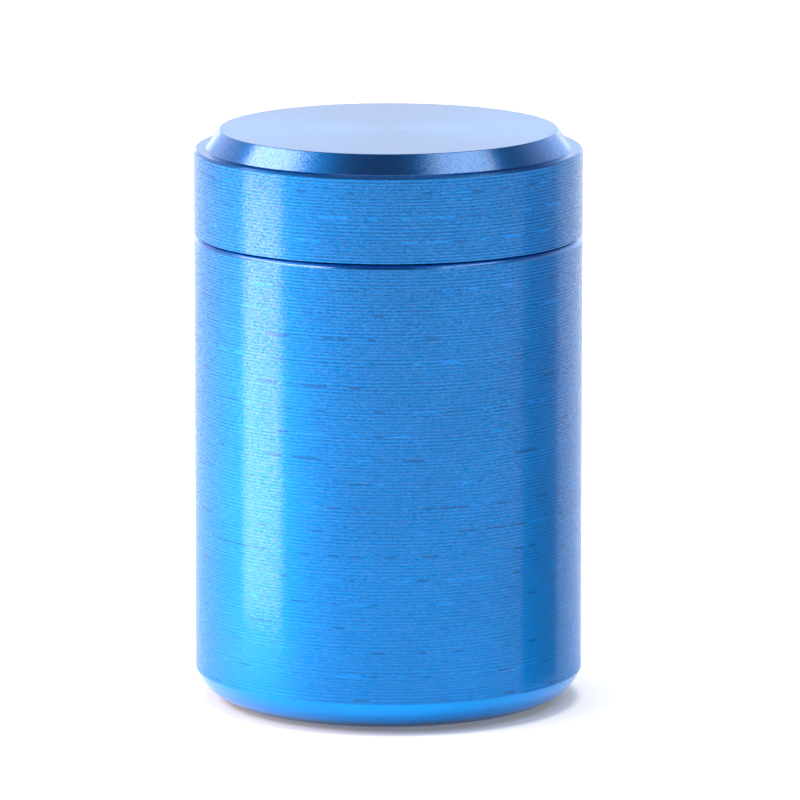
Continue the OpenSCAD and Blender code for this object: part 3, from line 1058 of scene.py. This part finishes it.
def thread_liner():
    root = NECK_RADIUS + RIDGE_HEIGHT + THREAD_GAP
    bottom = low("thread_liner").z
    runout, runout_low, runout_high = 1 * MM, 0.6 * MM, 1.2 * MM
    outline = [
        corner(LID_BORE, bottom),
        corner(LID_BORE, CEILING),
        corner(root, CEILING),
        curve(root, CEILING - runout),
        corner(root, bottom, LINER_FILLET),
    ]
    threaded = {
        "wall": root,
        "crest": NECK_RADIUS + THREAD_GAP,
        "z_low": bottom + runout_low,
        "z_high": CEILING - runout_high,
        "phase": 0.5,
    }
    index = next(i for i, c in enumerate(outline) if c["curve"])
    liner = turned(outline, thread=(index, threaded))
    finish_piece("thread_liner", liner, "lid", "white_moulding", white_moulding)


def flat_ring(node, inner, body, slot, material, fillet=EDGE):
    outer, z_low, z_high = high(node).x, low(node).z, high(node).z
    outline = [
        corner(inner, z_low, fillet),
        corner(outer, z_low, fillet),
        corner(outer, z_high, fillet),
        corner(inner, z_high, fillet),
    ]
    finish_piece(node, turned(outline), body, slot, material)


def hexagon(flats, z_low, z_high, bevel=0.0):
    return prism(flats / math.sqrt(3), z_low, z_high, 6, bevel)


def spindle():
    """A hexagonal bar with a round stud on top, which starts a little way inside the bar."""
    edge_bevel, stud_fillet, overlap = 0.2 * MM, 0.3 * MM, 1 * MM
    stud = [
        corner(0, BOSS_END - overlap),
        corner(STUD_RADIUS, BOSS_END - overlap),
        corner(STUD_RADIUS, STUD_TOP, stud_fillet),
        corner(0, STUD_TOP),
    ]
    shaft = hexagon(SPINDLE_FLATS, low("spindle").z, BOSS_END, edge_bevel)
    finish_piece("spindle", joined([shaft, turned(stud, SCREW_STEPS)]), "lid", "stainless", stainless)


def retaining_screw():
    head_low, top = low("retaining_screw").z, high("retaining_screw").z
    head_high = low("retaining_washer").z
    head, head_fillet, slot, slot_depth, steps = 3.8 * MM, 0.5 * MM, 3.6 * MM, 1 * MM, 96
    outline = [
        corner(0, head_low),
        corner(head, head_low, head_fillet),
        corner(head, head_high),
        corner(SHANK_RADIUS, head_high),
        corner(SHANK_RADIUS, top),
        corner(0, top),
    ]
    screw = cut(turned(outline, steps), cross_recess(slot, head_low, slot_depth))
    finish_piece("retaining_screw", screw, "lid", "screw_steel", screw_steel)


# ---------------------------------------------------------------- ram

RAM_LOW = low("ram_body").z
RAM_TOP = high("ram_body").z
RAM_RADIUS = high("ram_body").x
RAM_WALL = 2.4 * MM
RAM_WALL_TOP = 58 * MM
RAM_FLOOR = RAM_LOW + 2.5 * MM
RAM_BOSS = 8.5 * MM
RAM_EDGE_FILLET = 0.3 * MM
RAM_FLOOR_FILLET = 0.5 * MM
WIPER_DEPTH = 1.3 * MM
WIPER_FILLET = 0.4 * MM
COUNTERBORE = 6.3 * MM
SOCKET_FLATS = 9.2 * MM
SOCKET_PILOT = 2 * MM  # a bore inside the hexagon, which the socket's cut takes away


def ram_body():
    wiper_low, wiper_high = low("ram_wiper").z, high("ram_wiper").z
    spindle_end = low("spindle").z
    outline = [
        corner(COUNTERBORE, RAM_LOW),
        corner(RAM_RADIUS, RAM_LOW),
        corner(RAM_RADIUS, wiper_low),
        corner(RAM_RADIUS - WIPER_DEPTH, wiper_low),
        corner(RAM_RADIUS - WIPER_DEPTH, wiper_high),
        corner(RAM_RADIUS, wiper_high),
        corner(RAM_RADIUS, RAM_WALL_TOP, RAM_EDGE_FILLET),
        corner(RAM_RADIUS - RAM_WALL, RAM_WALL_TOP, RAM_EDGE_FILLET),
        corner(RAM_RADIUS - RAM_WALL, RAM_FLOOR, RAM_FLOOR_FILLET),
        corner(RAM_BOSS, RAM_FLOOR, RAM_FLOOR_FILLET),
        corner(RAM_BOSS, RAM_TOP, RAM_EDGE_FILLET),
        corner(SOCKET_PILOT, RAM_TOP, 0),
        corner(SOCKET_PILOT, spindle_end, 0),
        corner(COUNTERBORE, spindle_end),
    ]
    socket = hexagon(SOCKET_FLATS, RAM_LOW - PAST, RAM_TOP + PAST)
    finish_piece("ram_body", cut(turned(outline), socket), "ram", "clear_anodised", clear_anodised)


def ram_plate():
    face, back = low("ram_plate").z, high("ram_plate").z
    plate = toothed_disc(high("ram_plate").x, face, back)
    seat_face = low("ram_plate_screws").z
    plate = cut(plate, screw_seats(seat_face, 0))
    finish_piece("ram_plate", plate, "ram", "stainless", stainless)
    length = high("ram_plate_screws").z - seat_face
    screws = countersunk_screws(seat_face, length, 0)
    finish_piece("ram_plate_screws", screws, "ram", "screw_steel", screw_steel)


def ram_spring():
    """The coil, closed at both ends."""
    wire, mean = 0.8 * MM, 11.4 * MM
    coils, steps, sides = 5, 72, 20
    closed = 2 * wire * 1.02  # rise of each end coil, just over the wire's own thickness
    end_taper, end_reach = 0.72, 0.25 * wire / mean  # a last small ring rounds each end of the wire
    z_low, z_high = low("ram_spring").z, high("ram_spring").z
    length = z_high - z_low
    pitch = (length - 2 * wire - 2 * closed) / (coils - 2)
    bm = bmesh.new()
    rings = []
    for i in range(-1, coils * steps + 2):
        side = -1 if i < 0 else 1 if i > coils * steps else 0
        t = min(coils, max(0, i / steps))
        open_coils, last_coil = min(coils - 2, max(0, t - 1)), max(0, t - coils + 1)
        rise = closed * min(1, t) + pitch * open_coils + closed * last_coil
        thick = wire * (end_taper if side else 1)
        turn = TURN * t + end_reach * side
        ring = []
        for j in range(sides):
            r = mean + thick * math.cos(TURN * j / sides)
            z = z_low + wire + rise + thick * math.sin(TURN * j / sides)
            ring.append(bm.verts.new((r * math.cos(turn), r * math.sin(turn), z)))
        rings.append(ring)
    for a, b in zip(rings, rings[1:]):
        for j in range(sides):
            k = (j + 1) % sides
            bm.faces.new((a[j], a[k], b[k], b[j])).smooth = True
    bm.faces.new(rings[0])
    bm.faces.new(rings[-1])
    bmesh.ops.recalc_face_normals(bm, faces=bm.faces)
    piece = finish_piece("ram_spring", bm, "lid", "spring_steel", spring_steel)
    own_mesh(piece)


# ---------------------------------------------------------------- everything

can_shell()
store_liner()
foot_pad()
key_pins()
crush_cup()
plug_seals()
anvil()
flat_ring("lid_gasket", GASKET_BORE, "seal", "frosted_silicone", frosted_silicone, GASKET_FILLET)
lid_shell()
thread_liner()
spindle()
flat_ring("spring_washer", SPRING_WASHER_BORE, "lid", "stainless", stainless)
flat_ring("retaining_washer", RETAINING_WASHER_BORE, "lid", "stainless", stainless)
retaining_screw()
ram_body()
ram_plate()
ram_spring()
flat_ring("ram_wiper", RAM_RADIUS - WIPER_DEPTH, "ram", "frosted_silicone", frosted_silicone, WIPER_FILLET)

# ---------------------------------------------------------------- floor, light and camera

WHITE_LAMP = (1.0, 0.93, 0.84)
WARM_LAMP = (1.0, 0.76, 0.72)
HIGH_LAMP = (1.0, 0.82, 0.78)


def way_to(azimuth, elevation):
    """Unit vector. Azimuth 0 is on the camera's side, and a positive one is to the camera's right."""
    a, e = math.radians(azimuth), math.radians(elevation)
    return Vector((math.sin(a) * math.cos(e), -math.cos(a) * math.cos(e), math.sin(e)))


def facing(way):
    """Rotation of a lamp or camera that looks against the way to it."""
    return way.to_track_quat("Z", "Y").to_euler()


def quad(name, corners, material):
    mesh = bpy.data.meshes.new(name)
    mesh.from_pydata(corners, [], [(0, 1, 2, 3)])
    mesh.materials.append(material)
    obj = in_scene(name, mesh)
    return obj


def floor():
    """A wide pale table that glows a little, as a lit sweep does."""
    half, grey, glow = 6.0, 0.8, 0.15
    m = Nodes("floor")
    m.shade(base_color=colour(grey, grey, grey), roughness=0.9)
    m.shade(emission_color=colour(1, 1, 1), emission_strength=glow)
    quad("floor", [(-half, -half, 0), (half, -half, 0), (half, half, 0), (-half, half, 0)], m.material)


def world():
    """Bright round the horizon, brightest behind the object, and dim overhead, like a white-walled room."""
    wall, wall_top = colour(1.15, 1.15, 1.15), 0.25
    ceiling, ceiling_start = colour(0.13, 0.11, 0.16), 0.60
    front, back, reach = 0.75, 1.25, 0.8
    sky = bpy.data.worlds.new("studio")
    bpy.context.scene.world = sky
    sky.use_nodes = True
    tree = sky.node_tree
    background = tree.nodes["Background"]
    place = tree.nodes.new("ShaderNodeTexCoord")
    split = tree.nodes.new("ShaderNodeSeparateXYZ")
    ramp = tree.nodes.new("ShaderNodeValToRGB")
    rear = tree.nodes.new("ShaderNodeMapRange")
    low_stop, high_stop = ramp.color_ramp.elements
    low_stop.position, low_stop.color = wall_top, wall
    high_stop.position, high_stop.color = ceiling_start, ceiling
    limits = {"From Min": -reach, "From Max": reach, "To Min": front, "To Max": back}
    for key, value in limits.items():
        rear.inputs[key].default_value = value
    tree.links.new(place.outputs["Generated"], split.inputs[0])
    tree.links.new(split.outputs[2], ramp.inputs[0])
    tree.links.new(split.outputs[1], rear.inputs["Value"])
    tree.links.new(ramp.outputs[0], background.inputs["Color"])
    tree.links.new(rear.outputs["Result"], background.inputs["Strength"])


def overhead():
    """One broad even light from straight above. It whitens the floor and leaves it dark under the foot."""
    light = bpy.data.lights.new("overhead", "SUN")
    light.energy = 2.8
    light.angle = math.radians(34)
    in_scene("overhead", light).visible_glossy = False


def flag():
    """A dark screen on the right that only reflections see, darkest at its foot."""
    azimuth, reach, half, top = 76.5, 39.1 * MM, 9.2 * MM, 68 * MM
    foot, head, head_height = colour(0.05, 0.05, 0.05), colour(0.52, 0.52, 0.54), 32 * MM
    middle = way_to(azimuth, 0) * reach
    along = way_to(azimuth + 90, 0) * half
    up = Vector((0, 0, top))
    m = Nodes("flag")
    tone = m.scaled(m.split(m.object_place())[2], 0.0, head_height, 0.0, 1.0)
    m.shade(base_color=m.mix(tone, foot, head), roughness=1.0)
    left, right = middle - along, middle + along
    obj = quad("flag", [left, right, right + up, left + up], m.material)
    obj.visible_camera = obj.visible_diffuse = obj.visible_shadow = False


def softbox(name, azimuth, elevation, distance, size, strength, tint=WHITE_LAMP):
    """A lamp that faces the middle of the object. size is (width, height). strength is in watts per square
    metre."""
    light = bpy.data.lights.new(name, "AREA")
    light.shape = "RECTANGLE"
    light.size, light.size_y = size
    light.energy = strength * light.size * light.size_y
    light.color = tint
    obj = in_scene(name, light)
    way = way_to(azimuth, elevation)
    obj.location = Vector((0, 0, cad_high.z / 2)) + way * distance
    obj.rotation_euler = facing(way)
    obj.visible_camera = False


def camera():
    elevation, distance = 10.61, 1.045
    data = bpy.data.cameras.new("camera")
    data.sensor_width = 36
    data.lens = 387.2
    data.shift_x, data.shift_y = 0.0144, 0.0149
    obj = in_scene("camera", data)
    way = way_to(0, elevation)
    obj.location = Vector((0, 0, (CAN_BASE + cad_high.z) / 2)) + way * distance
    obj.rotation_euler = facing(way)
    bpy.context.scene.camera = obj


floor()
world()
overhead()
flag()
softbox("key_left_low", -69.5, -3.4, 0.075, (0.034, 0.058), 25, WARM_LAMP)
softbox("key_left_high", -79, 42, 0.5, (0.56, 0.17), 18, HIGH_LAMP)
softbox("key_right", 61, 52, 0.5, (0.34, 0.17), 8.5)
softbox("rim_left", -154, -4, 0.5, (0.26, 0.24), 3.2)
softbox("rim_right", 151, -4, 0.5, (0.24, 0.24), 2.4)
softbox("top", 180, 79, 0.5, (0.28, 0.20), 5)
camera()
bpy.context.scene.view_settings.view_transform = "Standard"
